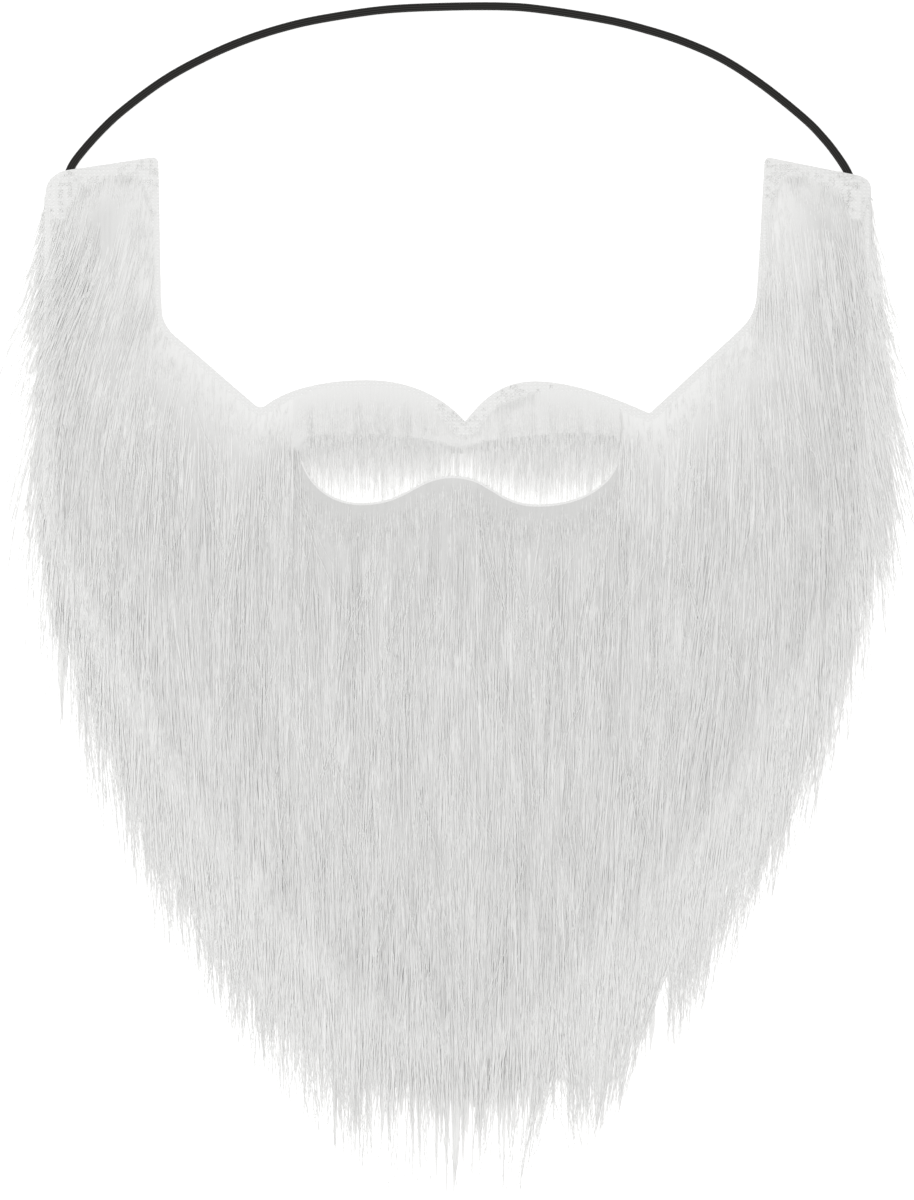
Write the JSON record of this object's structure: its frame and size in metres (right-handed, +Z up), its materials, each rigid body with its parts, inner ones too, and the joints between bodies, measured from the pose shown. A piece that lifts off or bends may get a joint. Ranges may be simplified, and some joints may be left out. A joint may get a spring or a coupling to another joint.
{
  "type": "false beard with moustache",
  "caption": "Costume beard with moustache cut from one piece of long-pile white faux fur, with a mouth hole and an elastic cord between its cheek tabs.",
  "frame": {"origin": "on the surface that the beard lies on, under the middle of the fur's box", "axes": "+Z up out of the pile, +Y from the chin's tip to the cheek tabs, +X to the right as seen from the front"},
  "size_m": [0.2969, 0.393, 0.0136],
  "materials": {
    "white_knit": "matt white knitted polyester backing",
    "white_pile": "silky white acrylic pile, brushed flat",
    "black_elastic": "black braided flat elastic with lengthwise ribs"
  },
  "bodies": {
    "root": {"knit_backing": "white_knit", "beard_pile": "white_pile", "moustache_pile": "white_pile", "elastic_cord": "black_elastic"}
  },
  "joints": []
}
